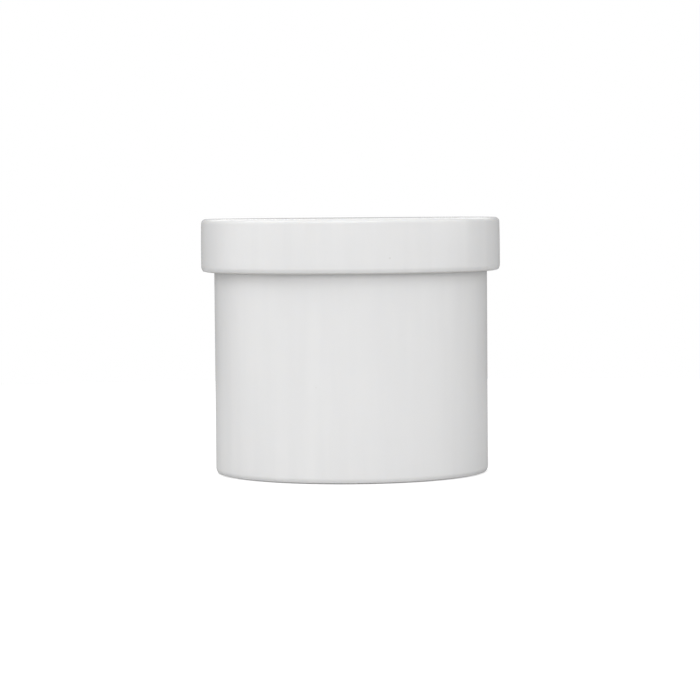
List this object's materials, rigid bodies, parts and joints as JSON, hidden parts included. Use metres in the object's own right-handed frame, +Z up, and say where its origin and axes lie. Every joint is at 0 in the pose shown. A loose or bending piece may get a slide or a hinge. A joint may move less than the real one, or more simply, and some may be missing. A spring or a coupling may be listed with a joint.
{
  "type": "porcelain crucible",
  "caption": "Squat straight-walled porcelain crucible with a loose flat-topped cap lid whose skirt hangs over the rim, for heating and ashing small samples.",
  "frame": {"origin": "centre of the foot ring's resting plane", "axes": "+Z up along the crucible's axis, from the foot to the lid; X and Y are free, because both pieces are bodies of revolution"},
  "size_m": [0.0438, 0.0438, 0.0373],
  "materials": {
    "glazed_porcelain": "clear semi-gloss glaze on white porcelain; foot ring, rim and the skirt's lower edge are left unglazed and matt"
  },
  "bodies": {
    "crucible": {"crucible": "glazed_porcelain"},
    "lid": {"lid": "glazed_porcelain"}
  },
  "joints": [
    {"name": "lid_lift", "type": "slide", "parent": "crucible", "child": "lid", "axis": [0, 0, 1], "range_m": [0, 0.05]}
  ]
}
